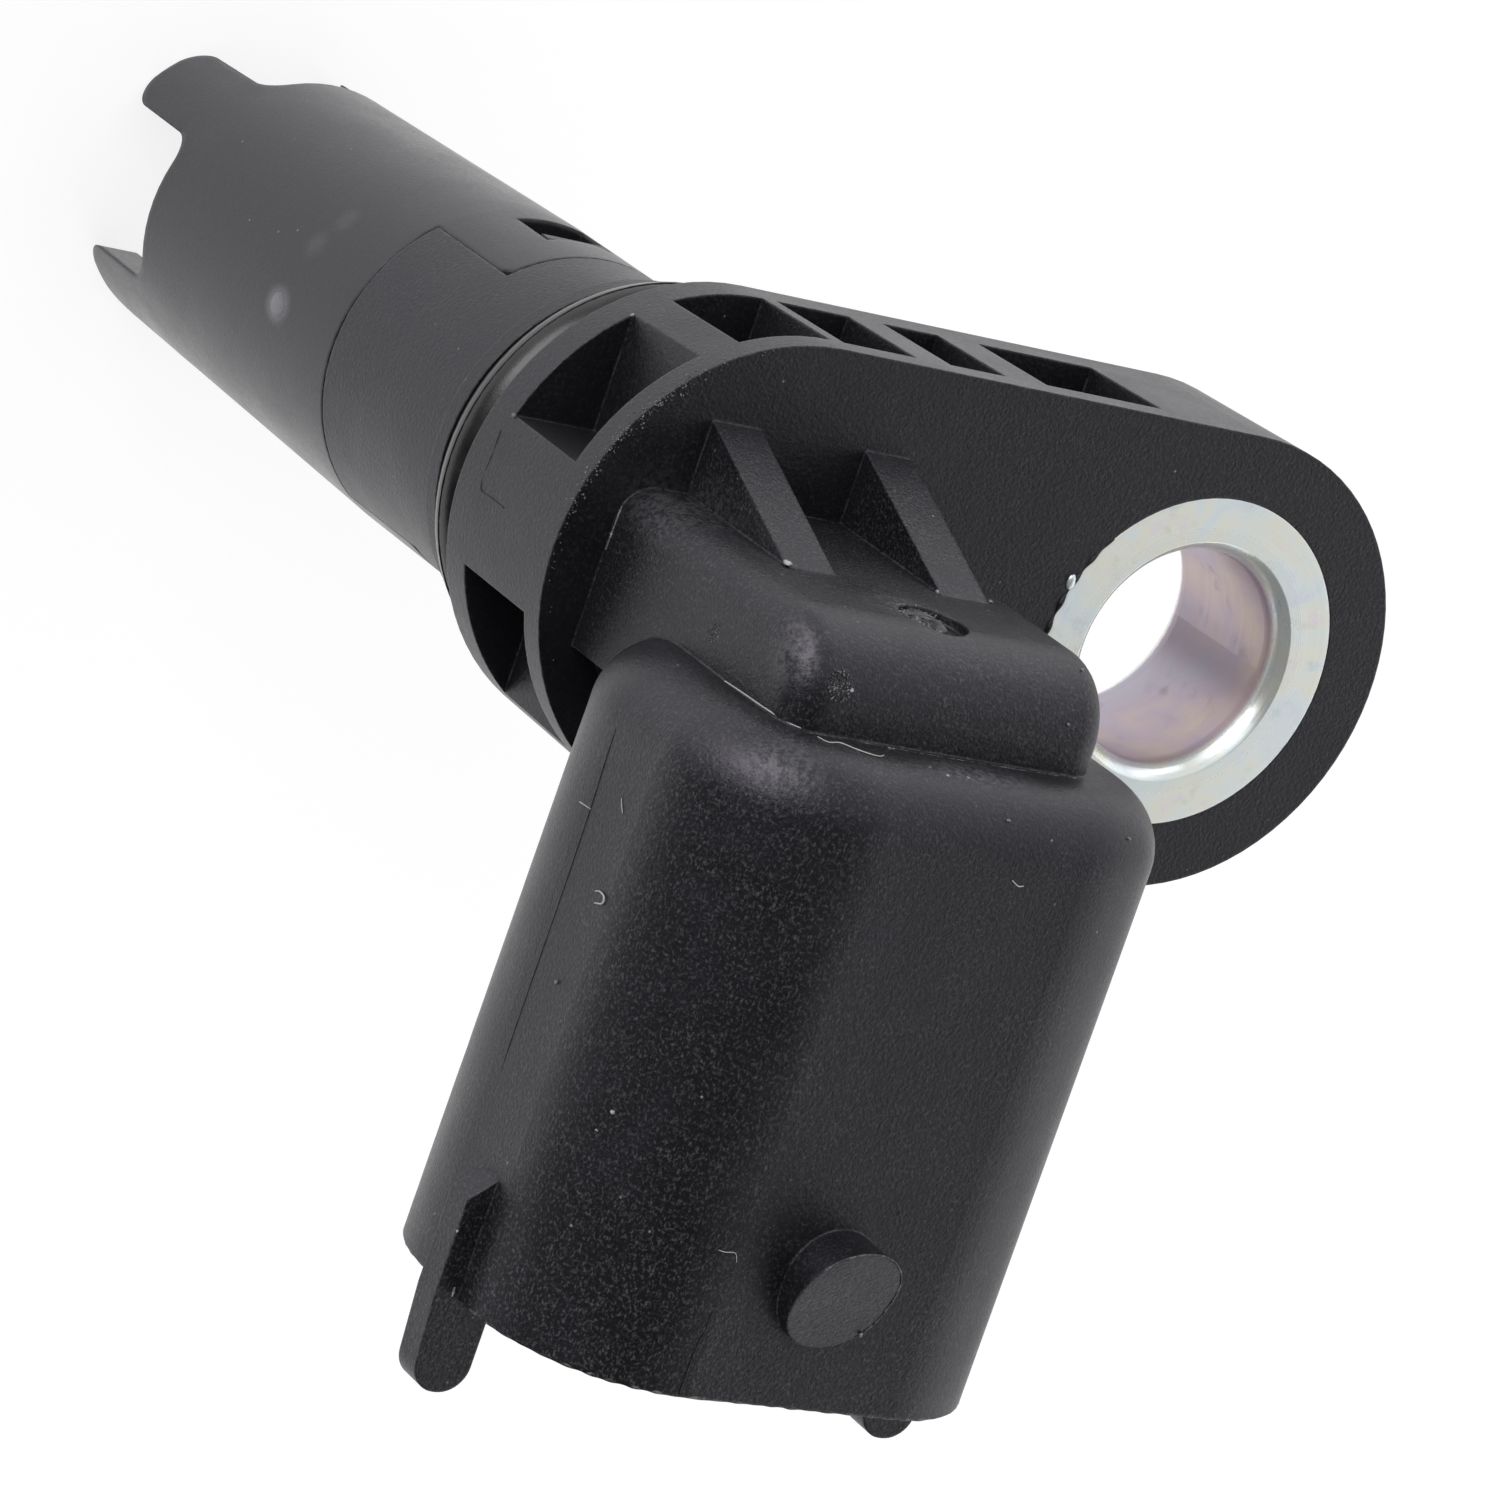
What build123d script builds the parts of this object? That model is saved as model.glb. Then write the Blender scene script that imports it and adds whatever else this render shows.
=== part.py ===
from build123d import *
import os
from math import cos, radians, sin

# Charge air temperature sensor, millimetres.
# The origin is on the probe axis, on the flange's seating face. The probe points down -Z, the bolt
# hole lies along +X, the connector mouth looks along -Y and its latch nub along +Z.

# Flange
bolt_distance = 14.8
flange_end_radius = 6.95
flange_thickness = 5.75
flange_draft = 1.4
front_plate = 0.9
back_plate = 1.15
hub_radius = 4.35
bush_wall = 1.1
centre_web = 4.4
rib_spans = [(-3.85, -2.78), (0.07, 0.52), (3.0, 4.19), (6.13, 7.56)]
last_pocket_end = 11.65

# Steel bush in the bolt hole
bush_outer_diameter = 10.0
bush_bore = 6.5
bush_edge_radial = 0.42
bush_edge_axial = 0.8
bush_groove_depth = 0.3
bush_groove_width = 1.2

# Probe tube and seal
tube_radius = 5.2
tube_length = 11.0
seal_shoulder_radius = 5.4
seal_shoulder_length = 0.6
groove_width = 2.35
groove_root_radius = 4.35
ring_cord = 1.8
collar_radius = 5.65
collar_thickness = 0.85
collar_chamfer = 0.25
spigot_clearance = 0.08
spigot_length = 2.6

# Protective cage on the probe's end
cage_seam_gap = 0.06
cage_rim_depth = 23.97
cage_prong_length = 4.3
cage_tip_radius = 4.8
cage_wall = 1.15
cage_gap_width = 4.6
cage_root_fillet = 0.8
prong_round_width = 0.75
prong_round_length = 0.9
tongue_width = 6.1
tongue_length = 4.3
tongue_corner = 0.5
tongue_clearance = 0.05
window_width = 2.3
window_length = 1.85
window_bar = 1.6
catch_length = 0.8
catch_clearance = 0.1

# Neck between the flange and the connector
neck_left = 5.35
neck_right = 4.94
neck_top = 2.13
neck_front = 16.37
neck_front_round = 2.2
neck_edge_round = 1.0
gusset_thickness = 1.6
gusset_spacing = 5.14
gusset_top = 4.3
gusset_toe = 11.25
gate_radius = 1.0
gate_depth = 0.3
gate_lean = 4.0
gate_from_front = 2.62
gate_side = -0.1

# Connector shell
shell_top = -0.74
shell_mouth = -18.52
shell_front = 19.14
shell_depth = 11.62
shell_half_width = 7.71
shell_left_corner = 4.55
shell_right_corner = 4.15
shell_top_round = 1.9
shell_taper = 0.3
shell_wall = 1.55
shell_floor = 4.3

# Latch nub and key ribs on the shell
nub_width = 2.95
nub_length = 3.37
nub_from_mouth = 1.87
nub_height = 1.5
nub_low_height = 0.16
key_thickness = 0.95
key_plane = 13.65
key_protrusion = 0.72
key_inner_step = 0.4
key_past_mouth = 2.74
key_length = 5.56
key_top_slope = 0.65
key_lead_in = 0.2

# Terminals and the carrier that holds them
blade_pitch = 5.0
blade_width = 2.8
blade_recess = 5.2
blade_point = 0.3
strip_thickness = 0.8
strip_width = 1.6
strip_pitch = 3.0
carrier_wall = 0.8
carrier_past_spigot = 0.9
barrel_radius = 0.55
barrel_length = 2.3
barrel_floor = 0.5

# Thermistor bead, its leads and their sleeves
lead_radius = 0.2
lead_bend_radius = 1.0
lead_straight = 0.6
sleeve_radius = 0.42
sleeve_length = 2.4
bead_radius = 1.25
bead_half_length = 1.6
bead_end_chamfer = 0.4
bead_depth = 22.8
bead_lead_pitch = 1.1
bead_lead_entry = 0.8

# Worked out from the sizes above
overlap = 1.0
bush_radius = bush_outer_diameter / 2
pocket_roof = flange_thickness - front_plate
groove_end = seal_shoulder_length + groove_width
collar_end = groove_end + collar_thickness
cage_start = tube_length + cage_seam_gap
cage_bore = tube_radius - cage_wall
cage_end = cage_rim_depth + cage_prong_length
tongue_end = cage_start - tongue_length
window_top = tongue_end + window_bar
spigot_radius = cage_bore - spigot_clearance
shell_back = shell_front - shell_depth
cavity_floor = shell_top - shell_floor
carrier_length = tube_length + spigot_length + carrier_past_spigot
carrier_half_width = (strip_pitch + strip_width) / 2 + carrier_wall
carrier_half_depth = strip_thickness / 2 + carrier_wall
head_half_width = (blade_pitch + blade_width) / 2 + carrier_wall
barrel_end = carrier_length + barrel_length


def block(x0, x1, y0, y1, z0, z1):
    """A box given by its two corners."""
    centre = ((x0 + x1) / 2, (y0 + y1) / 2, (z0 + z1) / 2)
    return Pos(*centre) * Box(x1 - x0, y1 - y0, z1 - z0)


def rod(radius, z0, z1, x=0.0):
    """A cylinder along Z."""
    return Pos(x, 0, (z0 + z1) / 2) * Cylinder(radius, z1 - z0)


def turned(profile):
    """A solid of revolution about Z from a closed outline of (radius, z) edges or points."""
    if not isinstance(profile[0], Edge):
        profile = [Polyline(*profile, close=True)]
    return revolve(Plane.XZ * make_face(profile), Axis.Z)


def side_prism(points, x0, x1):
    """A prism along X from (y, z) points."""
    face = make_face(Polyline(*[(x0, y, z) for y, z in points], close=True))
    return extrude(face, x1 - x0, dir=(1, 0, 0))


def mirrored_pair(solid, plane=Plane.YZ):
    """A solid together with its image in a plane."""
    return solid + mirror(solid, about=plane)


# Flange


def flange():
    """The obround flange, drafted so that its back is a little smaller than its front."""
    outline = SlotCenterToCenter(bolt_distance, 2 * flange_end_radius)
    front = Pos(bolt_distance / 2, 0, flange_thickness) * outline
    body = extrude(front, flange_thickness, dir=(0, 0, -1), taper=flange_draft)
    for pocket in flange_pockets():
        body -= pocket
    return body


def flange_pockets():
    """The core-outs in the flange's edge, open to +Y and -Y, between the hub, the ribs and the bush."""
    reach = flange_end_radius + overlap
    edges = [-reach] + [x for span in rib_spans for x in span] + [last_pocket_end]
    kept = rod(hub_radius, back_plate, pocket_roof)
    kept += rod(bush_radius + bush_wall, back_plate, pocket_roof, x=bolt_distance)
    kept += block(-reach, bolt_distance, -centre_web / 2, centre_web / 2, back_plate, pocket_roof)
    slots = [block(a, b, -reach, reach, back_plate, pocket_roof) for a, b in zip(edges[::2], edges[1::2])]
    return [slot - kept for slot in slots]


# Probe tube


def probe_tube():
    """The tube with its seal groove and collar, the spigot inside the cage and the cage's seats."""
    chamfer_start = collar_end - collar_chamfer
    outline = [(0, overlap), (seal_shoulder_radius, overlap), (seal_shoulder_radius, -seal_shoulder_length),
               (groove_root_radius, -seal_shoulder_length), (groove_root_radius, -groove_end),
               (collar_radius, -groove_end), (collar_radius, -chamfer_start),
               (collar_radius - collar_chamfer, -collar_end), (tube_radius, -collar_end),
               (tube_radius, -tube_length), (spigot_radius, -tube_length),
               (spigot_radius, -tube_length - spigot_length), (0, -tube_length - spigot_length)]
    return turned(outline) - tongue_seats() + catches()


def tongue_seats():
    """The two recesses in the tube that take the cage's tongues."""
    top = tongue_clearance - tongue_end
    half = tongue_width / 2 + tongue_clearance
    ring = rod(tube_radius + overlap, -tube_length, top) - rod(spigot_radius, -tube_length, top)
    return ring & block(-half, half, -2 * tube_radius, 2 * tube_radius, -tube_length, top)


def catches():
    """The two ramped catches that the cage's windows snap over."""
    top = -window_top - catch_clearance
    low = top - catch_length
    root = spigot_radius - overlap
    face = tube_radius - catch_clearance
    half = window_width / 2 - catch_clearance
    outline = [(root, top), (face, top), (face, top - catch_length / 2), (spigot_radius, low), (root, low)]
    return mirrored_pair(side_prism(outline, -half, half), Plane.XZ)


# Neck


def neck():
    """The block that carries the terminals from the flange to the connector, and its two gussets."""
    start = flange_thickness - overlap
    body = block(-neck_left, neck_right, shell_top - shell_top_round, neck_top, start, neck_front)
    corner = body.edges().filter_by(Axis.X).sort_by(lambda e: e.center().Y + e.center().Z)[-1]
    body = fillet(corner, neck_front_round)
    for side in (-neck_left, neck_right):
        rim = [e for e in body.edges() if abs(e.center().X - side) < 0.01 and is_outside(e.center())]
        body = fillet(rim, neck_edge_round)
    boss = rod(neck_left, start, shell_back + overlap)
    under = block(-neck_left, neck_right, -neck_left, 0, 0, neck_front)
    return body + (boss & under) + gussets()


def is_outside(point):
    """Whether a point of the neck's side outline lies on its top, its front or the round between."""
    on_round = min(point.Y - neck_top, point.Z - neck_front) > -neck_front_round
    return point.Y > neck_top - 0.01 or point.Z > neck_front - 0.01 or on_round


def gussets():
    start = flange_thickness - overlap
    low = neck_top - overlap
    outline = [(low, start), (gusset_top, start), (gusset_top, flange_thickness), (neck_top, gusset_toe),
               (low, gusset_toe)]
    inner = (gusset_spacing - gusset_thickness) / 2
    return mirrored_pair(side_prism(outline, inner, inner + gusset_thickness))


def gate_mark():
    """The shallow pit that the moulding gate left in the neck's top, near its front."""
    pit = Cylinder(gate_radius, 2 * gate_depth)
    return Location((gate_side, neck_top, neck_front - gate_from_front), (gate_lean - 90, 0, 0)) * pit


# Connector shell


def shell_section(inset):
    """The shell's section, a rectangle with large round corners, less an inset all round."""
    half = shell_half_width - inset
    low = shell_back + inset
    high = shell_front - inset
    plane = Plane(origin=(0, shell_mouth, 0), x_dir=(-1, 0, 0), z_dir=(0, 1, 0))
    face = make_face(Polyline((-half, low), (half, low), (half, high), (-half, high), close=True))
    face = fillet(face.vertices().group_by(Axis.X)[-1], shell_left_corner - inset)
    face = fillet(face.vertices().group_by(Axis.X)[0], shell_right_corner - inset)
    return plane * face


def shell():
    body = extrude(shell_section(0), shell_top - shell_mouth, taper=shell_taper)
    body = fillet(body.faces().sort_by(Axis.Y)[-1].edges(), shell_top_round)
    return body + latch_nub()


def cavity():
    return extrude(shell_section(shell_wall), cavity_floor - shell_mouth, taper=shell_taper)


def latch_nub():
    """The nub on the shell's flat front, ramped towards the mouth."""
    low = shell_mouth + nub_from_mouth
    high = low + nub_length
    base = shell_front - overlap
    foot = Location((0, (low + high) / 2, base), (0, 0, 90)) * SlotOverall(nub_length, nub_width)
    post = extrude(foot, overlap + nub_height)
    outline = [(low, base), (high, base), (high, shell_front + nub_height), (low, shell_front + nub_low_height)]
    return post & side_prism(outline, -nub_width, nub_width)


def key_ribs():
    """The two side ribs that run on past the mouth and end in a full round."""
    inner = shell_half_width - shell_wall + key_inner_step
    outer = shell_half_width + key_protrusion
    low = shell_mouth - key_past_mouth
    high = low + key_length
    points = [(inner, low), (outer - key_lead_in, low), (outer, shell_mouth), (outer, high),
              (shell_half_width, high + key_top_slope), (inner, high + key_top_slope)]
    face = make_face(Polyline(*points, close=True))
    end_round = 0.49 * (outer - key_lead_in - inner)
    face = fillet(face.vertices().group_by(Axis.Y)[0], end_round)
    rib = extrude(Pos(0, 0, key_plane - key_thickness / 2) * face, key_thickness)
    return mirrored_pair(rib)


# Separate pieces


def mounting_bush():
    """The steel compression limiter, with coined bore edges and a groove that keys it in the plastic."""
    bore = bush_bore / 2
    top = flange_thickness
    groove_low = (top - bush_groove_width) / 2
    groove_high = (top + bush_groove_width) / 2
    rim = bore + bush_edge_radial
    root = bush_radius - bush_groove_depth
    outside = Polyline((rim, 0), (bush_radius, 0), (bush_radius, groove_low), (root, groove_low),
                       (root, groove_high), (bush_radius, groove_high), (bush_radius, top), (rim, top))
    upper = TangentArc((bore, top - bush_edge_axial), (rim, top), tangent=(0, 1))
    wall = Line((bore, top - bush_edge_axial), (bore, bush_edge_axial))
    lower = TangentArc((bore, bush_edge_axial), (rim, 0), tangent=(0, -1))
    return Pos(bolt_distance, 0, 0) * turned([*outside.edges(), *upper.edges(), *wall.edges(), *lower.edges()])


def sealing_ring():
    centre = -(seal_shoulder_length + groove_end) / 2
    return Pos(0, 0, centre) * Torus(groove_root_radius + ring_cord / 2, ring_cord / 2)


def probe_cage():
    """The open-ended cage: a drafted sleeve with four prongs and two tongues that snap on the tube."""
    sleeve = turned([(tube_radius, -cage_start), (cage_tip_radius, -cage_end),
                     (cage_tip_radius - cage_wall, -cage_end), (cage_bore, -cage_start)])
    for turn in (0, 90):
        sleeve -= Rot(0, 0, turn) * prong_gap()
    return sleeve + tongues()


def prong_gap():
    """The slot between the prongs, right through, with round roots and rounded prong ends."""
    half = cage_gap_width / 2
    flare = half + prong_round_width
    round_start = prong_round_length - cage_end
    right = TangentArc((half, round_start), (flare, -cage_end), tangent=(0, -1))
    left = TangentArc((-half, round_start), (-flare, -cage_end), tangent=(0, -1))
    below = Polyline((flare, -cage_end), (flare, -cage_end - overlap), (-flare, -cage_end - overlap),
                     (-flare, -cage_end))
    above = Polyline((-half, round_start), (-half, -cage_rim_depth), (half, -cage_rim_depth), (half, round_start))
    face = make_face([*right.edges(), *below.edges(), *left.edges(), *above.edges()])
    roots = face.vertices().group_by(Axis.Y)[-1]
    face = fillet(roots, cage_root_fillet)
    return extrude(Plane.XZ * face, 2 * tube_radius, both=True)


def tongues():
    """The two tongues of the cage, on +Y and -Y, each with a window for its catch."""
    ring = rod(tube_radius, -cage_start - overlap, -tongue_end) - rod(cage_bore, -cage_start - overlap, -tongue_end)
    length = tongue_length + overlap
    face = Pos(0, -tongue_end - length / 2) * Rectangle(tongue_width, length)
    face = fillet(face.vertices().group_by(Axis.Y)[-1], tongue_corner)
    window_middle = -window_top - window_length / 2
    face -= Pos(0, window_middle) * Rectangle(window_width, window_length)
    pair = ring & extrude(Plane.XZ * face, 2 * tube_radius, both=True)
    below = rod(tube_radius + overlap, -cage_start - 2 * overlap, -cage_start)
    return pair - below


def terminal():
    """One stamped terminal: blade, bend, strip along the probe and crimp barrel."""
    blade_x = blade_pitch / 2
    strip_x = strip_pitch / 2
    half = strip_thickness / 2
    blade = block(blade_x - blade_width / 2, blade_x + blade_width / 2, shell_mouth + blade_recess, half,
                  key_plane - half, key_plane + half)
    tip = blade.edges().filter_by(Axis.X).group_by(Axis.Y)[0]
    blade = chamfer(tip, blade_point)
    bend = blade.edges().filter_by(Axis.X).sort_by(lambda e: e.center().Y + e.center().Z)[-1]
    blade = fillet(bend, half)
    strip = block(strip_x - strip_width / 2, strip_x + strip_width / 2, -half, half, -carrier_length, key_plane)
    barrel = rod(barrel_radius, -barrel_end, -carrier_length, x=strip_x)
    bore = rod(lead_radius, -barrel_end, -carrier_length - barrel_floor, x=strip_x)
    return blade + strip + barrel - bore


def terminal_carrier(terminals):
    """The pre-moulded piece that holds both terminals while the housing is moulded round them."""
    front = key_plane + carrier_half_depth
    tower = block(-carrier_half_width, carrier_half_width, -carrier_half_depth, carrier_half_depth,
                  -carrier_length, front)
    head = block(-head_half_width, head_half_width, cavity_floor, carrier_half_depth,
                 key_plane - carrier_half_depth, front)
    return tower + head - terminals


def lead_path():
    """The lead from its barrel, slanting in to the bead."""
    start = carrier_length + barrel_floor
    low = bead_depth - bead_half_length - lead_straight
    return FilletPolyline((strip_pitch / 2, 0, -start), (strip_pitch / 2, 0, -barrel_end - lead_straight),
                          (bead_lead_pitch / 2, 0, -low), (bead_lead_pitch / 2, 0, -bead_depth + bead_lead_entry),
                          radius=lead_bend_radius)


def lead():
    path = lead_path()
    return sweep(Plane(origin=path @ 0, z_dir=path % 0) * Circle(lead_radius), path=path)


def lead_sleeve(lead_solid):
    """The insulating sleeve on the slanted stretch of one lead."""
    slanted = max(lead_path().edges(), key=lambda e: e.length if abs((e % 0.5).X) > 0.01 else 0)
    axis = slanted % 0.5
    start = slanted @ 0.5 - axis * (sleeve_length / 2)
    tube = extrude(Plane(origin=start, z_dir=axis) * Circle(sleeve_radius), sleeve_length)
    return tube - lead_solid


def thermistor_bead(leads):
    bead = rod(bead_radius, -bead_depth - bead_half_length, -bead_depth + bead_half_length)
    return chamfer(bead.edges().filter_by(GeomType.CIRCLE), bead_end_chamfer) - leads


def housing(bush, carrier, terminals):
    """The one overmoulded body: flange, probe tube, neck and connector shell."""
    body = flange() + probe_tube() + neck() + shell() + key_ribs()
    body -= cavity()
    body -= gate_mark()
    body -= bush
    body -= rod(bush_bore / 2 + bush_edge_radial, 0, flange_thickness, x=bolt_distance)
    body -= carrier
    return body - terminals


def write(name, solid):
    export_step(solid, f"parts/{name}.step")


def main():
    os.makedirs("parts", exist_ok=True)
    right_terminal = terminal()
    left_terminal = mirror(right_terminal, about=Plane.YZ)
    terminals = right_terminal + left_terminal
    right_lead = lead()
    left_lead = mirror(right_lead, about=Plane.YZ)
    right_sleeve = lead_sleeve(right_lead)
    carrier = terminal_carrier(terminals)
    bush = mounting_bush()
    write("housing", housing(bush, carrier, terminals))
    write("mounting_bush", bush)
    write("sealing_ring", sealing_ring())
    write("probe_cage", probe_cage())
    write("terminal_carrier", carrier)
    write("terminal_right", right_terminal)
    write("terminal_left", left_terminal)
    write("lead_right", right_lead)
    write("lead_left", left_lead)
    write("lead_sleeve_right", right_sleeve)
    write("lead_sleeve_left", mirror(right_sleeve, about=Plane.YZ))
    write("thermistor_bead", thermistor_bead(right_lead + left_lead))


main()
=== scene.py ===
import bpy
import numpy as np
from mathutils import Matrix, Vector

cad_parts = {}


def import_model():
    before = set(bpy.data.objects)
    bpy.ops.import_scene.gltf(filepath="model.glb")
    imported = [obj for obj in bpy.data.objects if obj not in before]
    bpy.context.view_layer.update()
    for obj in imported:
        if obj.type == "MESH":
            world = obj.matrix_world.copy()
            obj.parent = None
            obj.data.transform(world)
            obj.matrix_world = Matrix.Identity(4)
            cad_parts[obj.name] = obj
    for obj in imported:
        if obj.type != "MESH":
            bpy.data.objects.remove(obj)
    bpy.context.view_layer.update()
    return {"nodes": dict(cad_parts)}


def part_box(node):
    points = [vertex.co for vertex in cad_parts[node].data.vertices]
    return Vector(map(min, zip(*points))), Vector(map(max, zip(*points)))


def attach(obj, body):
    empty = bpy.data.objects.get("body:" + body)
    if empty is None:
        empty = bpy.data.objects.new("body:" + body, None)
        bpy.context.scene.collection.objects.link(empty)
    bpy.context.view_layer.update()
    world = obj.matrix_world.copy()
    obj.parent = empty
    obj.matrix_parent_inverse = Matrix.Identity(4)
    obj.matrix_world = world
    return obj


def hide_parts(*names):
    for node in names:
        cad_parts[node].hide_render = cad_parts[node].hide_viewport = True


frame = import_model()
nodes = frame["nodes"]

MM = 0.001
dice = np.random.default_rng(41)

# Sizes that the dressing shares with the solids, in millimetres
SHELL_MOUTH = -18.52
SHELL_FRONT = 19.14
SHELL_BACK = 7.52
SHELL_HALF = 7.71
SHELL_LEFT_CORNER = 4.55
SHELL_RIGHT_CORNER = 4.15
BOLT_X = 14.8
BUSH_RADIUS = 5.0
BORE_RADIUS = 3.25
FLANGE_TOP = 5.75
FLANGE_RADIUS = 6.93
NUB_LOW, NUB_HIGH, NUB_HALF = -16.65, -13.28, 1.475
NUB_RAMP_START, NUB_RAMP_END = 0.16, 1.5
RING_MIDDLE = -1.775
RING_OUTER_EDGE, RING_INNER_EDGE = 6.15, 4.36
BEAD_END, BEAD_LENGTH, BEAD_RADIUS = -24.4, 3.2, 1.22
LEAD_SPREAD = 0.55
GATE_PIT = (-0.25, 1.86, 13.42)

# Sides of the smallest round forms
LINE_SIDES = 6


class Value:
    """A socket's value. An operator on it adds the Math node that works the sum out."""

    def __init__(self, finish, socket):
        self.finish = finish
        self.socket = socket

    def __add__(self, other):
        return self.finish.sum_of("ADD", self, other)

    def __sub__(self, other):
        return self.finish.sum_of("SUBTRACT", self, other)

    def __rsub__(self, other):
        return self.finish.sum_of("SUBTRACT", other, self)

    def __mul__(self, other):
        return self.finish.sum_of("MULTIPLY", self, other)

    def __pow__(self, other):
        return self.finish.sum_of("POWER", self, other)

    __radd__ = __add__
    __rmul__ = __mul__


class Finish:
    """A node tree being filled, for a material or for the world."""

    def __init__(self, tree):
        self.tree = tree
        tree.nodes.clear()

    def node(self, kind, settings=None, inputs=None, output=0):
        """One node: its settings first, then its sockets' values or links."""
        made = self.tree.nodes.new(kind)
        for name, value in (settings or {}).items():
            if name == "stops":
                self.set_stops(made.color_ramp, value)
            else:
                setattr(made, name, value)
        for name, value in (inputs or {}).items():
            if isinstance(value, Value):
                self.tree.links.new(value.socket, made.inputs[name])
            else:
                made.inputs[name].default_value = value
        return Value(self, made.outputs[output]) if made.outputs else made

    @staticmethod
    def set_stops(ramp, stops):
        while len(ramp.elements) < len(stops):
            ramp.elements.new(0.5)
        for element, (place, colour) in zip(ramp.elements, stops):
            element.position = place
            element.color = (*colour, 1.0)

    def sum_of(self, operation, a, b):
        return self.node("ShaderNodeMath", {"operation": operation}, {0: a, 1: b})

    def clamp(self, value):
        return self.node("ShaderNodeClamp", None, {"Value": value})

    def place(self):
        """Object coordinates in millimetres."""
        where = self.node("ShaderNodeTexCoord", None, None, "Object")
        return self.node("ShaderNodeVectorMath", {"operation": "SCALE"}, {0: where, "Scale": 1 / MM})

    def axes(self, vector):
        return [self.node("ShaderNodeSeparateXYZ", None, {0: vector}, axis) for axis in "XYZ"]

    def noise(self, vector, scale, detail=2.0, roughness=0.5, distortion=0.0):
        inputs = {"Vector": vector, "Scale": scale, "Detail": detail, "Roughness": roughness,
                  "Distortion": distortion}
        return self.node("ShaderNodeTexNoise", None, inputs, "Fac")

    def cells(self, vector, scale, output="Distance"):
        return self.node("ShaderNodeTexVoronoi", None, {"Vector": vector, "Scale": scale}, output)

    def stretched(self, vector, x, y, z):
        return self.node("ShaderNodeMapping", None, {"Vector": vector, "Scale": (x, y, z)})

    def rise(self, value, low, high):
        """A smooth step from 0 at low to 1 at high."""
        return self.node("ShaderNodeMapRange", {"interpolation_type": "SMOOTHSTEP"},
                         {"Value": value, "From Min": low, "From Max": high})

    def blend(self, share, first, second):
        """The first colour at a share of 0, the second at 1."""
        return self.node("ShaderNodeMix", {"data_type": "RGBA", "clamp_factor": True},
                         {0: share, 6: colour(first), 7: colour(second)}, 2)

    def ramp(self, value, stops):
        return self.node("ShaderNodeValToRGB", {"stops": stops}, {"Fac": value})

    def rounded(self, radius):
        """The normal with sharp edges eased over a radius in millimetres."""
        return self.node("ShaderNodeBevel", {"samples": 5}, {"Radius": radius * MM})

    def edge(self, soft_normal):
        """How much the rounded normal turns away from the true one: 0 on flats, up to 1 on edges."""
        true = self.node("ShaderNodeNewGeometry", None, None, "Normal")
        both = {0: soft_normal, 1: true}
        same = self.node("ShaderNodeVectorMath", {"operation": "DOT_PRODUCT"}, both, "Value")
        return self.rise(1.0 - same, 0.02, 0.25)

    def lobe(self, axes, towards, inner, outer):
        """1 within the inner angle of a direction and 0 past the outer, in degrees."""
        x, y, z = axes
        across = x * towards[0] + y * towards[1] + z * towards[2]
        return self.rise(across, float(np.cos(np.radians(outer))), float(np.cos(np.radians(inner))))

    def patch(self, at, centre, radii):
        """A soft blob at a place: 1 out to a fifth of its radii, and 0 from its radii on."""
        scale = tuple(1 / r for r in radii)
        shift = tuple(-c / r for c, r in zip(centre, radii))
        inside = self.node("ShaderNodeMapping", None, {"Vector": at, "Scale": scale, "Location": shift})
        reach = self.node("ShaderNodeVectorMath", {"operation": "LENGTH"}, {0: inside}, "Value")
        return self.rise(reach, 1.0, 0.2)

    def bump(self, height, depth, normal=None):
        """Relief whose full height is depth millimetres."""
        inputs = {"Height": height, "Distance": depth * MM, "Strength": 1.0}
        if normal:
            inputs["Normal"] = normal
        return self.node("ShaderNodeBump", None, inputs)

    def surface(self, **sockets):
        """The shader, with the settings that don't vary given as numbers."""
        shader = self.node("ShaderNodeBsdfPrincipled", None,
                           {name.replace("_", " "): colour(value) for name, value in sockets.items()})
        self.node("ShaderNodeOutputMaterial", None, {"Surface": shader})


def colour(value):
    """A plain colour gets its fourth channel."""
    return (*value, 1.0) if isinstance(value, tuple) and len(value) == 3 else value


def new_material(name):
    material = bpy.data.materials.new(name)
    material.use_nodes = True
    return material, Finish(material.node_tree)


# Finishes

GRAIN_SCALE = 9.0
FIBRE_END_AND_SPARKLE = (0.1, 0.096, 0.105)
RUBBED_EDGE_AND_HIGHLIGHT = (0.1, 0.098, 0.106)
DUST = (0.3, 0.3, 0.31)


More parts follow.
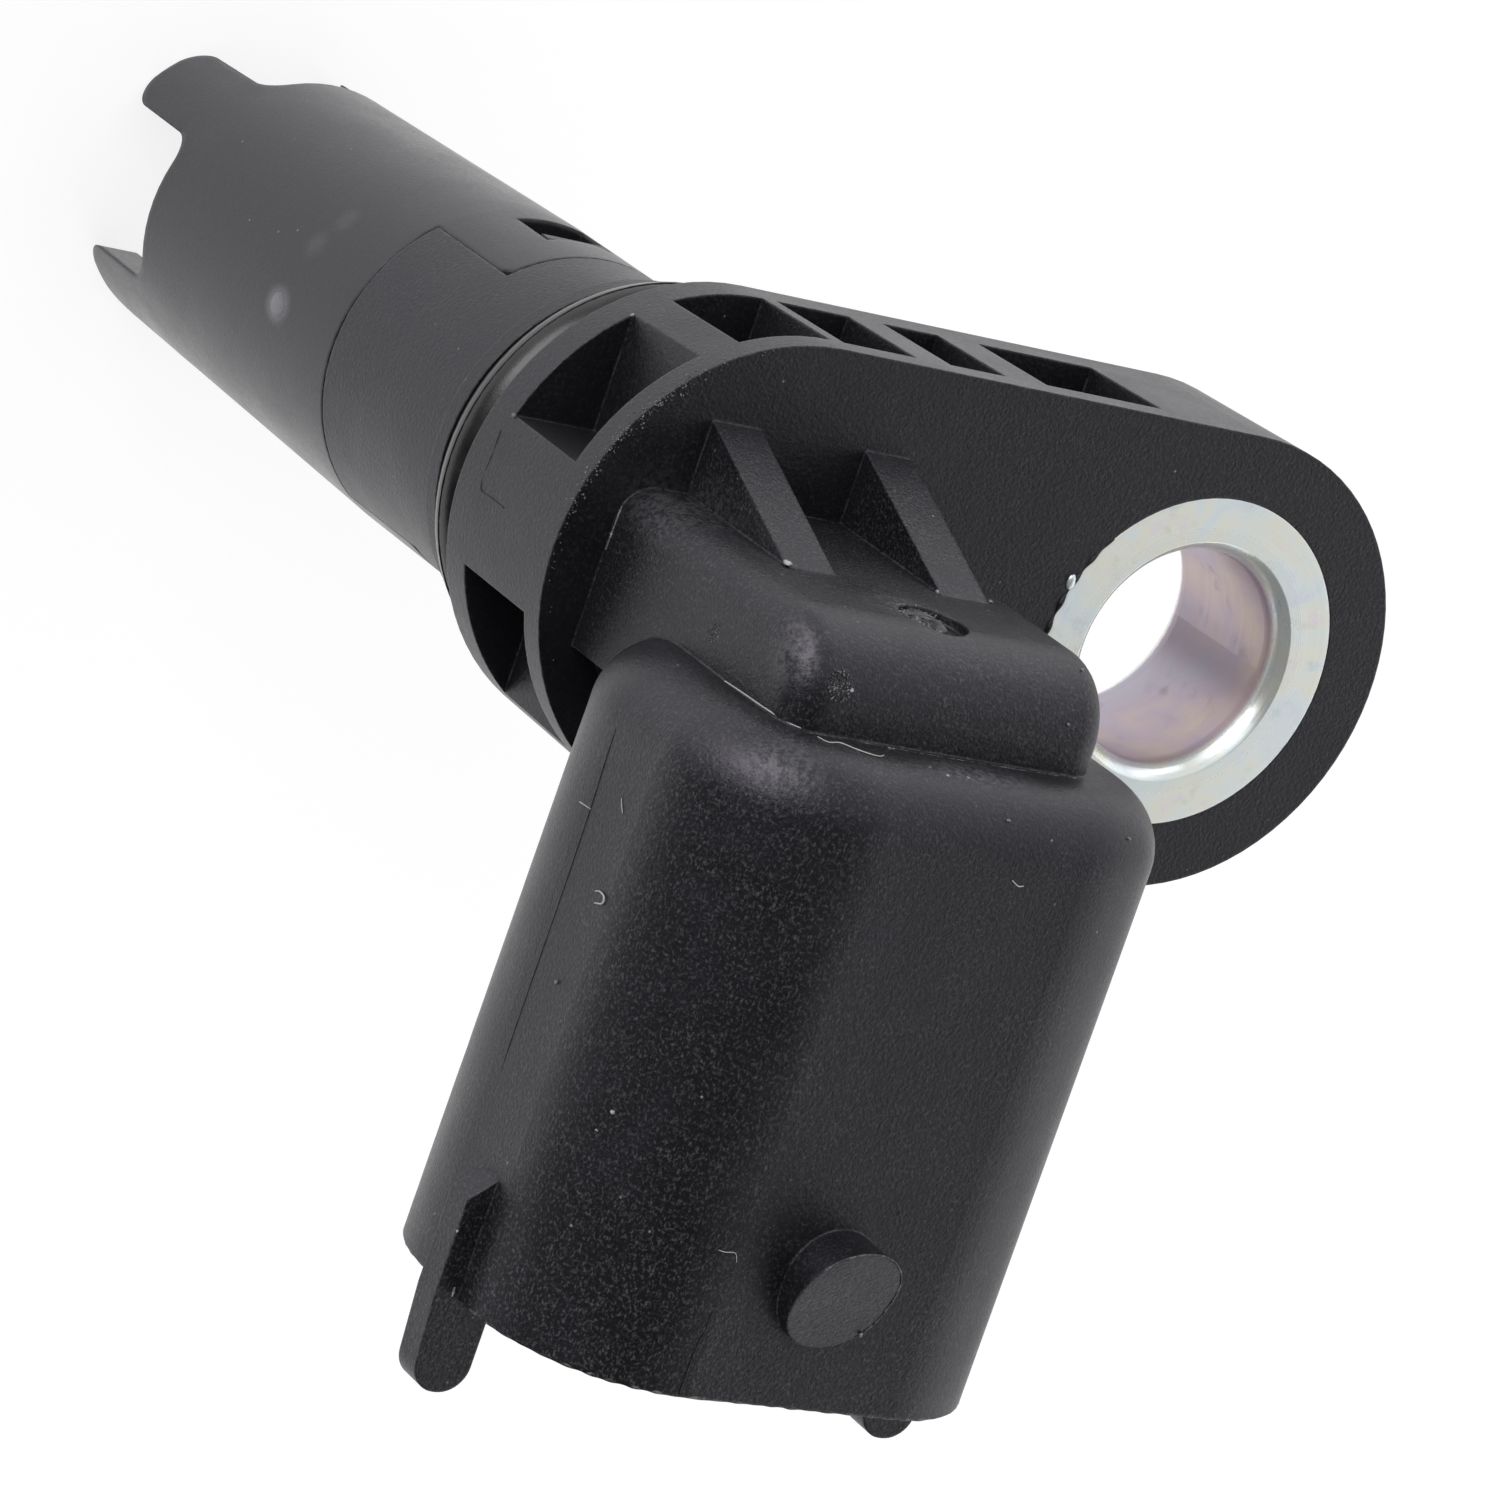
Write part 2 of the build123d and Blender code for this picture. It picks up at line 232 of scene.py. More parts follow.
def moulded_black(name, base, grain_depth, gloss, dots, rub_and_highlight, zone=None, spots=(), rounding=0.1):
    """Glass-filled black plastic: eroded grain, pale fibre ends with some painted sparkle, flow streaks,
    dust, edges lightened by wear and as a painted highlight, and spots of wear, some of them painted
    highlights.
    The zone gives the share of pale fibre ends at a place, and dots scales it all over."""
    material, f = new_material(name)
    at = f.place()
    coarse = f.noise(at, GRAIN_SCALE, 3.0, 0.62)
    cloudy = f.noise(at, 0.3, 3.0, 0.6, 0.6)
    streaks = f.noise(f.stretched(at, 0.9, 0.22, 0.9), 0.8, 3.0, 0.6, 0.4)
    pale_share = zone(f, at) if zone else 0.4
    fine = f.noise(at, 9.5, 2.0, 0.65)
    small = f.rise(fine, 0.5, 0.76)
    short = f.rise(f.noise(f.stretched(at, 1.0, 0.45, 1.0), 17.0, 1.0, 0.5), 0.54, 0.78)
    ends = f.clamp(small * 0.75 + short * 0.75) * pale_share * dots
    seed = f.node("ShaderNodeSeparateColor", None, {0: f.cells(at, 1.3, "Color")}, 0)
    specks = f.rise(f.cells(at, 1.3), 0.07, 0.025) * f.rise(seed, 0.5, 0.8)
    breakup = f.rise(f.noise(at, 5.0, 3.0, 0.7), 0.4, 0.62)
    soft_normal = f.rounded(rounding)
    edge = f.edge(soft_normal)
    # Edges lightened in colour: partly edge wear, partly a painted highlight where edges catch the light.
    rubbed_and_highlit = edge * f.rise(f.noise(at, 1.7, 3.0, 0.6) * 0.5 + fine * 0.5, 0.42, 0.6) * rub_and_highlight
    ground = f.blend(f.rise(cloudy, 0.35, 0.7) * 0.6, base, tuple(c * 1.5 for c in base))
    ground = f.blend(f.rise(streaks, 0.52, 0.74) * 0.3, ground, tuple(c * 1.9 for c in base))
    # Pale fibre ends, and on the shell's left corner partly painted sparkle of the grain.
    ground = f.blend(ends * 0.7, ground, FIBRE_END_AND_SPARKLE)
    # Painted edge highlight together with edge wear.
    ground = f.blend(rubbed_and_highlit, ground, RUBBED_EDGE_AND_HIGHLIGHT)
    # Spots of wear and painted highlights, each torn to specks by its own share.
    for centre, radii, share, torn, tint in spots:
        ground = f.blend(f.patch(at, centre, radii) * share * (breakup * torn + (1.0 - torn)), ground, tint)
    ground = f.blend(specks * 0.7, ground, DUST)
    rough = f.clamp(gloss + (cloudy - 0.5) * 0.2 + (coarse - 0.5) * 0.2 - rubbed_and_highlit * 0.1 + specks * 0.3)
    height = coarse + fine * 0.4
    f.surface(Base_Color=ground, Roughness=rough, IOR=1.5, Specular_Tint=(0.92, 0.885, 1.0),
              Normal=f.bump(height, grain_depth, soft_normal))
    return material


def shell_zone(f, at):
    """More pale fibre ends on the connector's left corner, there partly painted sparkle of the grain where
    the light falls from the left, towards its mouth and on the neck, and fewer on the flange."""
    x, y, z = f.axes(at)
    wander = f.noise(at, 0.5, 4.0, 0.65)
    # The left corner's extra pale specks are partly painted sparkle where the light falls from the left.
    corner = f.rise(x + (wander - 0.5) * 5.0, -1.2, -5.0) * f.rise(y, 0.2, -2.4) * f.rise(z, 12.6, 15.6)
    near_mouth = f.rise(y + (wander - 0.5) * 6.0, -12.5, -16.5)
    neck = f.rise(y, -1.4, -0.5)
    share = 0.28 + corner * 0.5 + near_mouth * 0.22 + neck * 0.3 + f.rise(wander, 0.4, 0.64) * 0.3
    return share * (0.4 + f.rise(z, FLANGE_TOP + 0.1, FLANGE_TOP + 0.65) * 0.6)


def zinc_steel():
    """Zinc plate with a thin passivated film: pale silver with faint pink, lilac and straw patches."""
    material, f = new_material("passivated_zinc")
    at = f.node("ShaderNodeMapping", None, {"Vector": f.place(), "Location": (-BOLT_X, 0.0, 0.0)})
    x, y, z = f.axes(at)
    radius = (x * x + y * y) ** 0.5
    in_bore = f.rise(radius, BORE_RADIUS + 0.09, BORE_RADIUS + 0.02)
    coined = f.rise(radius, 4.2, 3.95) * (1.0 - in_bore)
    film = f.noise(f.stretched(at, 1.0, 1.0, 0.8), 0.55, 4.0, 0.62, 0.4)
    face_tint = f.ramp(film, [(0.3, (0.84, 0.88, 0.97)), (0.41, (0.87, 0.95, 0.97)),
                              (0.5, (0.92, 0.97, 0.93)), (0.58, (0.95, 0.96, 0.86)),
                              (0.67, (0.95, 0.9, 0.94)), (0.78, (0.86, 0.91, 0.97))])
    bore_tint = f.ramp(f.noise(f.stretched(at, 0.8, 0.8, 1.0), 0.34, 3.0, 0.5, 0.15),
                       [(0.3, (0.63, 0.56, 0.44)), (0.4, (0.6, 0.5, 0.49)), (0.52, (0.53, 0.45, 0.52)),
                        (0.66, (0.5, 0.48, 0.55)), (0.82, (0.6, 0.54, 0.47))])
    tint = f.blend(in_bore, face_tint, bore_tint)
    blotch = f.rise(f.noise(at, 1.3, 4.0, 0.6), 0.56, 0.74)
    tint = f.blend(blotch * 0.22, tint, (0.5, 0.5, 0.5))
    round_the_axis = f.node("ShaderNodeCombineXYZ", None, {"X": radius * 9.0, "Y": z * 6.0, "Z": 0.0})
    turning = f.noise(round_the_axis, 1.6, 3.0, 0.6)
    crystals = f.noise(at, 14.0, 2.0, 0.6)
    uneven_shine = (turning - 0.5) * 0.2 + blotch * 0.12 + (crystals - 0.5) * 0.1
    rough = f.clamp(0.36 + uneven_shine + in_bore * 0.12 - coined * 0.13)
    f.surface(Base_Color=tint, Metallic=0.62 + in_bore * 0.3, Roughness=rough,
              Normal=f.bump(turning * 0.7 + crystals * 0.3, 0.006, f.rounded(0.06)))
    return material


def seal_rubber():
    """Matte moulded rubber with a faint bloom."""
    material, f = new_material("seal_rubber")
    at = f.place()
    bloom = f.noise(at, 0.7, 4.0, 0.6)
    tint = f.blend(f.rise(bloom, 0.4, 0.72) * 0.6, (0.011, 0.011, 0.012), (0.034, 0.034, 0.036))
    skin = f.noise(at, 16.0, 2.0, 0.55)
    f.surface(Base_Color=tint, Roughness=f.clamp(0.24 + (bloom - 0.5) * 0.3), IOR=1.5,
              Normal=f.bump(skin, 0.005))
    return material


def tinned_metal(name, base, dull, draw):
    """Tin over brass, or tinned wire: soft grey metal with drawing lines and dull patches."""
    material, f = new_material(name)
    at = f.place()
    lines = f.noise(f.stretched(at, *draw), 2.4, 3.0, 0.6)
    patches = f.noise(at, 1.1, 3.0, 0.6)
    tint = f.blend(f.rise(patches, 0.42, 0.7) * 0.7, base, dull)
    rough = f.clamp(0.3 + (lines - 0.5) * 0.25 + (patches - 0.5) * 0.2)
    f.surface(Base_Color=tint, Metallic=1.0, Roughness=rough, Normal=f.bump(lines, 0.004, f.rounded(0.05)))
    return material


def sleeving():
    """Milky insulating sleeve, a little uneven in tone."""
    material, f = new_material("milky_sleeving")
    at = f.place()
    tone = f.noise(at, 1.8, 3.0, 0.6)
    tint = f.blend(tone, (0.62, 0.6, 0.52), (0.82, 0.81, 0.74))
    f.surface(Base_Color=tint, Roughness=f.clamp(0.3 + tone * 0.2), IOR=1.42,
              Normal=f.bump(f.noise(at, 9.0, 2.0, 0.5), 0.004))
    return material


def dipped_coating():
    """Glossy dip coating with slow waves and a few pinholes."""
    material, f = new_material("dipped_coating")
    at = f.place()
    waves = f.noise(at, 1.4, 2.0, 0.4)
    pinholes = f.rise(f.cells(at, 2.6), 0.07, 0.02)
    tint = f.blend(waves, (0.012, 0.012, 0.014), (0.03, 0.03, 0.034))
    f.surface(Base_Color=tint, Roughness=f.clamp(0.16 + waves * 0.14 + pinholes * 0.3), IOR=1.53,
              Normal=f.bump(waves - pinholes * 0.4, 0.03))
    return material


def torn_edge(name, base, pale):
    """Plastic that was torn or squeezed out thin: paler and rougher in places."""
    material, f = new_material(name)
    at = f.place()
    torn = f.noise(at, 4.5, 4.0, 0.65)
    tint = f.blend(f.rise(torn, 0.42, 0.66), base, pale)
    f.surface(Base_Color=tint, Roughness=f.clamp(0.42 + (torn - 0.5) * 0.4), IOR=1.5,
              Normal=f.bump(f.noise(at, 12.0, 3.0, 0.6), 0.02))
    return material


def lint():
    """Pale lint and dust, a little uneven along each strand."""
    material, f = new_material("pale_lint")
    at = f.place()
    tone = f.noise(at, 3.0, 3.0, 0.6)
    tint = f.blend(tone, (0.3, 0.3, 0.31), (0.62, 0.61, 0.6))
    f.surface(Base_Color=tint, Roughness=f.clamp(0.6 + tone * 0.2), IOR=1.45,
              Normal=f.bump(f.noise(at, 22.0, 2.0, 0.5), 0.004))
    return material


# Meshes as surfaces


def skin(points, along=False):
    """A grid of points (rows, columns, 3) in millimetres made a closed skin whose faces look outwards: the
    columns go round, and the rows either join up or end in a cap each."""
    rows, columns, _ = points.shape
    row_count = rows if along else rows - 1
    i, j = np.meshgrid(np.arange(row_count), np.arange(columns), indexing="ij")
    i2, j2 = (i + 1) % rows, (j + 1) % columns
    corners = [i * columns + j, i * columns + j2, i2 * columns + j2, i2 * columns + j]
    faces = np.stack(corners, -1).reshape(-1, 4).tolist()
    if not along:
        faces += [list(range(columns))[::-1], list(range((rows - 1) * columns, rows * columns))]
    flat = points.reshape(-1, 3)
    fans = np.array([(face[0], face[k], face[k + 1]) for face in faces for k in range(1, len(face) - 1)])
    a, b, c = (flat[fans[:, k]] for k in range(3))
    if np.einsum("ij,ij->i", a, np.cross(b, c)).sum() < 0:
        faces = [face[::-1] for face in faces]
    return flat, faces


def piece_of(name, skins, material):
    """One piece from one or more skins."""
    points = np.vstack([flat for flat, _ in skins]) * MM
    starts = np.cumsum([0] + [len(flat) for flat, _ in skins]).tolist()
    groups = [group for _, group in skins]
    faces = [[start + k for k in face] for start, group in zip(starts, groups) for face in group]
    mesh = bpy.data.meshes.new(name)
    mesh.from_pydata(points.tolist(), [], faces)
    mesh.validate()
    mesh.polygons.foreach_set("use_smooth", [True] * len(mesh.polygons))
    mesh.materials.append(material)
    piece = bpy.data.objects.new(name, mesh)
    bpy.context.scene.collection.objects.link(piece)
    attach(piece, "root")
    return piece


def grid_mesh(name, points, material, along=False):
    return piece_of(name, [skin(points, along)], material)


def cord_round(path, radius, sides=LINE_SIDES, along=False, squash=(1.0, 1.0), lean=(0.31, 0.22, 0.93)):
    """Circles of the given radius carried along a path, each square to the path's own direction:
    centre + radius * (cos of the angle times one cross direction + sin times the other)."""
    path = np.asarray(path, float)
    ahead = np.roll(path, -1, 0) - np.roll(path, 1, 0)
    if not along:
        ahead[0], ahead[-1] = path[1] - path[0], path[-1] - path[-2]
    ahead /= np.linalg.norm(ahead, axis=1, keepdims=True)
    up = np.broadcast_to(np.asarray(lean, float), path.shape)
    side = np.cross(ahead, up)
    side /= np.linalg.norm(side, axis=1, keepdims=True)
    up = np.cross(side, ahead)
    angle = np.linspace(0, 2 * np.pi, sides, endpoint=False)
    radius = np.broadcast_to(np.asarray(radius, float), (len(path),))[:, None, None]
    across = squash[0] * np.cos(angle)[None, :, None] * side[:, None]
    above = squash[1] * np.sin(angle)[None, :, None] * up[:, None]
    return path[:, None] + radius * (across + above)


def eased(points, count):
    """A smooth path through points: cubic pieces whose slope at a point is half the step between its
    neighbours, in equal steps of their parameter."""
    p = np.asarray(points, float)
    p = np.vstack([2 * p[0] - p[1], p, 2 * p[-1] - p[-2]])
    t = np.linspace(0, len(p) - 3 - 1e-9, count)
    k, u = t.astype(int), (t % 1)[:, None]
    a, b, c, d = p[k], p[k + 1], p[k + 2], p[k + 3]
    squared, cubed = 2 * a - 5 * b + 4 * c - d, 3 * b - 3 * c + d - a
    return 0.5 * (2 * b + (c - a) * u + squared * u ** 2 + cubed * u ** 3)


def uneven(count, low, high, waves=9):
    """Widths that wander between low and high: the mean of some sines of random pace and phase, stretched
    to fill that range."""
    t = np.linspace(0, 1, count)
    pace = dice.uniform(2, 11 * waves, (waves, 1))
    phase = dice.uniform(0, 2 * np.pi, (waves, 1))
    swing = np.sin(2 * np.pi * pace * t + phase).mean(0)
    swing = (swing - swing.min()) / (swing.max() - swing.min())
    return low + (high - low) * swing


def lump(centre, radii, rough=0.0, rings=9, sides=12):
    """An ellipsoid whose radius wanders by the given share: its sines and cosines of the angle from the pole
    and of the turn, times the radii and a random swell. It is cut flat just short of its poles."""
    short = 0.12
    theta = np.linspace(short, np.pi - short, rings)[:, None]
    phi = np.linspace(0, 2 * np.pi, sides, endpoint=False)[None, :]
    swell = 1 + rough * dice.uniform(-1, 1, (rings, sides))
    unit = np.stack([np.sin(theta) * np.cos(phi), np.sin(theta) * np.sin(phi), np.cos(theta) + 0 * phi], -1)
    return np.asarray(centre) + unit * swell[..., None] * np.asarray(radii)


def crumbs(name, centres, low, high, material):
    """Loose bits of random size, each a coarse lump."""
    skins = [skin(lump(centre, dice.uniform(low, high, 3), 0.25, 5, LINE_SIDES)) for centre in centres]
    piece_of(name, skins, material)


def fine_line(name, path, low, high, material, waves=9, fading=1.0):
    """A thin raised line on the housing, whose radius wanders between low and high."""
    radius = uneven(len(path), low, high, waves) * fading
    grid_mesh(name, cord_round(path, radius), material)


# Materials, one to each finish

# Spots of wear and painted highlights: centre, radii, share, how much of it is torn to specks, and tint
SHELL_WEAR_AND_HIGHLIGHT = [((-5.9, -1.5, 17.5), (1.6, 0.9, 1.5), 0.6, 1.0, (0.13, 0.125, 0.135)),
              ((0.2, -0.85, 17.4), (2.6, 0.4, 0.9), 0.6, 1.0, (0.1, 0.096, 0.105)),
              ((-4.2, 1.9, 7.2), (2.2, 1.7, 2.6), 0.55, 1.0, (0.09, 0.087, 0.094)),
              # a paler, specked patch on the neck's top beside the gate's pit
              ((-0.6, 2.1, 13.2), (1.7, 0.5, 1.5), 0.6, 1.0, (0.12, 0.115, 0.125)),
              # a painted highlight on the neck's rounded front left edge, broken into specks
              ((-5.1, 1.05, 15.4), (0.6, 1.4, 1.4), 0.6, 1.0, (0.13, 0.125, 0.135))]
# The first cage spot is pale and blurred over the gate's button: partly the gate's mark, partly a painted
# glint.
CAGE_WEAR_AND_GLINT = [((-5.1, 0.05, -14.85), (0.6, 0.7, 0.9), 0.62, 0.1, (0.31, 0.3, 0.33)),
             ((-4.65, 2.12, -14.59), (0.6, 0.6, 0.6), 0.16, 0.2, (0.2, 0.195, 0.21)),
             ((-4.08, 3.07, -14.3), (0.6, 0.6, 0.6), 0.14, 0.2, (0.2, 0.195, 0.21))]

SHELL_BLACK = moulded_black("housing_black", (0.0072, 0.0068, 0.0088), grain_depth=0.02, gloss=0.4, dots=1.1,
                            rub_and_highlight=0.9, zone=shell_zone, spots=SHELL_WEAR_AND_HIGHLIGHT)
CAGE_BLACK = moulded_black("cage_black", (0.009, 0.0086, 0.0106), grain_depth=0.006, gloss=0.31, dots=0.4,
                           rub_and_highlight=0.6, spots=CAGE_WEAR_AND_GLINT, rounding=0.22)
CARRIER_BLACK = moulded_black("carrier_black", (0.016, 0.0155, 0.018), grain_depth=0.008, gloss=0.5, dots=0.5,
                              rub_and_highlight=0.4)
ZINC = zinc_steel()
RUBBER = seal_rubber()
TIN = tinned_metal("tinned_brass", (0.72, 0.7, 0.64), (0.56, 0.53, 0.46), (1.0, 0.2, 0.2))
WIRE = tinned_metal("tinned_wire", (0.7, 0.68, 0.64), (0.52, 0.5, 0.47), (1.0, 1.0, 0.15))
SLEEVE = sleeving()
COATING = dipped_coating()
FLASH = torn_edge("torn_flash", (0.02, 0.02, 0.022), (0.16, 0.16, 0.165))
SEAM = torn_edge("mould_seam", (0.008, 0.008, 0.009), (0.02, 0.02, 0.022))
BURR = torn_edge("pale_burr", (0.03, 0.03, 0.033), (0.24, 0.235, 0.245))
PALE_CHIP = torn_edge("pale_chip", (0.12, 0.12, 0.125), (0.5, 0.5, 0.5))
ROUGH = torn_edge("rough_specks", (0.016, 0.0155, 0.018), (0.12, 0.117, 0.125))
LINT = lint()

NODE_FINISH = {"housing": SHELL_BLACK, "mounting_bush": ZINC, "sealing_ring": RUBBER,
               "probe_cage": CAGE_BLACK, "terminal_carrier": CARRIER_BLACK, "thermistor_bead": COATING}
for side in ("left", "right"):
    NODE_FINISH |= {f"terminal_{side}": TIN, f"lead_{side}": WIRE, f"lead_sleeve_{side}": SLEEVE}
for node_name, finish in NODE_FINISH.items():
    nodes[node_name].data.materials.clear()
    nodes[node_name].data.materials.append(finish)


# Small forms of the moulding


def rim_outline(y):
    """The shell's outline at its mouth, round once: a rectangle with quarter circles at its corners."""
    turn = np.linspace(0, np.pi / 2, 16)
    path = []
    for quarter, side, end, radius in ((0, 1, 1, SHELL_RIGHT_CORNER), (1, -1, 1, SHELL_LEFT_CORNER),
                                       (2, -1, -1, SHELL_LEFT_CORNER), (3, 1, -1, SHELL_RIGHT_CORNER)):
        angle = turn + quarter * np.pi / 2
        x = side * (SHELL_HALF - radius) + radius * np.cos(angle)
        z = (SHELL_FRONT if end > 0 else SHELL_BACK) - end * radius + radius * np.sin(angle)
        path.append(np.c_[x, np.full(len(turn), y), z])
    return np.vstack(path)


def even_steps(path, count):
    """A closed path walked in equal steps: each coordinate read off against the length walked."""
    ring = np.vstack([path, path[:1]])
    length = np.r_[0, np.cumsum(np.linalg.norm(np.diff(ring, axis=0), axis=1))]
    at = np.linspace(0, length[-1], count, endpoint=False)
    return np.stack([np.interp(at, length, ring[:, k]) for k in range(3)], -1)


def rim_flash():
    """Flash round the shell's mouth, a little inside its outline."""
    count, back, inset = 900, 0.02, 0.05
    rim = even_steps(rim_outline(SHELL_MOUTH + back), count)
    inward = rim.mean(0) - rim
    rim += inward / np.linalg.norm(inward, axis=1, keepdims=True) * inset
    flash = cord_round(rim, uneven(count, 0.03, 0.075, 8), along=True)
    grid_mesh("rim_flash", flash, FLASH, along=True)


def side_seams():
    """The seams of the mould's halves on the shell's two sides, fading towards the mouth."""
    seam = [(-7.605, -2.75, 12.3), (-7.618, -3.7, 12.34), (-7.626, -5.0, 12.42), (-7.635, -7.6, 12.48),
            (-7.655, -11.4, 12.5), (-7.664, -12.6, 12.55), (-7.672, -13.6, 12.75)]
    count = 160
    fading = np.minimum(1, np.linspace(3.0, 0.1, count))
    for name, side in (("seam_left", 1), ("seam_right", -1)):
        path = eased([(side * x, y, z) for x, y, z in seam], count)
        fine_line(name, path, 0.03, 0.042, SEAM, fading=fading)


def mould_lines():
    """Flash and lines where the mould's parts meet: across the shell's end by the neck, round the nub,
    beside it on the shell's front, on the flange's round end and at the neck's root."""
    joint = [(-4.9, -0.76, 16.42), (-3.37, -0.76, 16.47), (-2.0, -0.76, 16.52), (-0.2, -0.76, 16.55),
             (2.2, -0.76, 16.52), (3.6, -0.76, 16.47), (4.5, -0.76, 16.4)]
    split = [(-3.33, -16.0, 19.13), (-3.38, -16.7, 19.13), (-3.46, -17.2, 19.13), (-3.48, -18.45, 19.14)]
    insert = [(-6.63, 1.67, 0.95), (-6.76, 0.98, 1.13), (-6.84, 0.05, 1.23), (-6.86, -0.01, 1.84),
              (-6.88, -0.01, 2.7)]
    root = [(-5.33, 1.48, 5.84), (-5.36, 1.15, 5.85), (-5.37, 0.72, 5.85), (-5.37, 0.2, 5.83)]
    fine_line("joint_flash", eased(joint, 240), 0.012, 0.042, FLASH, 14)
    fine_line("nub_flash", nub_edge(160), 0.015, 0.045, FLASH, 14)
    fine_line("split_line", eased(split, 60), 0.012, 0.02, SEAM)
    fine_line("insert_line", eased(insert, 60), 0.008, 0.018, SEAM)
    fine_line("neck_burr", eased(root, 60), 0.012, 0.04, PALE_CHIP)


def rim_burrs_and_highlight():
    """Pale specks strewn along the flange's top edge, some over each side of it: burrs, and with them a
    painted broken highlight along the edge.
    """
    count = 260
    turn = dice.normal(np.radians(148), np.radians(17), count)
    over = dice.normal(0, 0.14, count)
    reach = FLANGE_RADIUS - np.maximum(over, 0)
    places = np.c_[reach * np.cos(turn), reach * np.sin(turn), FLANGE_TOP + np.minimum(over, 0)]
    crumbs("rim_burrs_and_highlight", places, 0.015, 0.045, BURR)


def nub_edge(count):
    """The edge of the nub's ramped top from its far end round its +X side: a slot's outline laid on the
    ramp, which climbs evenly along y."""
    angle = np.linspace(np.radians(150), np.radians(-40), count)
    half = (NUB_HIGH - NUB_LOW) / 2 - NUB_HALF
    x = NUB_HALF * np.cos(angle)
    y = (NUB_LOW + NUB_HIGH) / 2 + NUB_HALF * np.sin(angle) + half * np.sign(np.sin(angle))
    climb = NUB_RAMP_END - NUB_RAMP_START
    z = SHELL_FRONT + NUB_RAMP_START + climb * (y - NUB_LOW) / (NUB_HIGH - NUB_LOW)
    return np.c_[x * 0.985, y, z]


def pin_ring(name, centre, across, up, radius, count):
    """The rough spot that an ejector pin leaves: specks at random reaches over a circle."""
    angle = np.linspace(0, 2 * np.pi, count, endpoint=False) + dice.uniform(-0.12, 0.12, count)
    reach = radius * dice.uniform(0.02, 1.1, count) ** 0.6
    places = np.asarray(centre) + np.outer(reach * np.cos(angle), across)
    crumbs(name, places + np.outer(reach * np.sin(angle), up), 0.012, 0.032, BURR)


def drop_bead():
    """The dipped thermistor in place of the plain bead: a body of revolution whose radius is a power of a
    sine along its length, a little slimmer to its upper end."""
    rows, sides = 40, 48
    share = np.linspace(0, 1, rows)
    radius = np.maximum(BEAD_RADIUS * np.sin(np.pi * share ** 0.92) ** 0.62 * (1 - 0.14 * share), 0.03)
    height = np.broadcast_to((BEAD_END + BEAD_LENGTH * share)[:, None], (rows, sides))
    phi = np.linspace(0, 2 * np.pi, sides, endpoint=False)
    points = np.stack([radius[:, None] * np.cos(phi), radius[:, None] * np.sin(phi), height], -1)
    bead = grid_mesh("dipped_bead", points, COATING)
    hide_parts("thermistor_bead")


def bead_collars():
    """The coating drawn up each lead: rings that narrow with the square root of the way up."""
    steps, low, height = 14, -21.9, 1.0
    foot, narrowing = 0.62, 0.39
    rise = np.linspace(0, 1, steps)
    for name, x in (("bead_collar_left", -LEAD_SPREAD), ("bead_collar_right", LEAD_SPREAD)):
        path = np.c_[np.full(steps, x), np.zeros(steps), low + height * rise]
        collar = cord_round(path, foot - narrowing * rise ** 0.5, 20, lean=(1, 0, 0))
        grid_mesh(name, collar, COATING)


def ring_fins():
    """The fins that the ring's mould leaves round its outer and its inner middle."""
    count = 200
    angle = np.linspace(0, 2 * np.pi, count, endpoint=False)
    for name, radius in (("ring_fin_outer", RING_OUTER_EDGE), ("ring_fin_inner", RING_INNER_EDGE)):
        path = np.c_[radius * np.cos(angle), radius * np.sin(angle), np.full(count, RING_MIDDLE)]
        fin = cord_round(path, uneven(count, 0.02, 0.035), along=True, squash=(1.0, 0.7), lean=(0, 0, 1))
        grid_mesh(name, fin, RUBBER, along=True)


def bush_rim():
    """Plastic squeezed over the bush's rim on the probe's side, in soft lumps, and a chip on the rim."""
    count, sunk = 150, 0.01
    angle = np.radians(np.linspace(140, 206, count))
    reach = BUSH_RADIUS - sunk
    path = np.c_[BOLT_X + reach * np.cos(angle), reach * np.sin(angle), np.full(count, FLANGE_TOP - sunk)]
    lumps = uneven(count, 0.03, 0.09, 1) * np.sin(np.linspace(0, np.pi, count)) ** 0.4
    grid_mesh("bush_flash", cord_round(path, lumps, 8, lean=(0, 0, 1)), SHELL_BLACK)
    grid_mesh("bush_chip", lump((10.0, 1.72, 5.77), (0.14, 0.24, 0.08), 0.12), ZINC)


def gate_stub():
    """The torn stub in the gate's pit: a low cone along +Y whose sides and rows wander."""
    rows, sides, foot, height = 7, 26, 0.85, 0.3
    tear = dice.uniform(0.55, 1.0, (1, sides))
    share = np.linspace(0, 1, rows)[:, None]
    angle = np.linspace(0, 2 * np.pi, sides, endpoint=False)[None, :]
    radius = foot * (1 - 0.4 * share) * tear
    lift = height * share ** 0.7 + 0.03 * dice.uniform(-1, 1, (rows, sides)) - 0.06
    points = np.array(GATE_PIT) + np.stack([radius * np.cos(angle), lift, radius * np.sin(angle)], -1)
    grid_mesh("gate_stub", points, BURR)


def gate_bits():
    """Bits of the stub, in the pit and on its rim."""
    count, pit_radius, rim_height = 90, 1, 2.12
    centre_x, centre_z = -0.1, 13.75
    angle = dice.uniform(np.radians(150), np.radians(310), count)
    reach = dice.uniform(0.3, 1.2, count)
    height = np.where(reach > pit_radius, rim_height, dice.uniform(1.95, 2.1, count))
    places = np.c_[centre_x + reach * np.cos(angle), height, centre_z + reach * np.sin(angle)]
    crumbs("gate_bits", places, 0.015, 0.05, BURR)


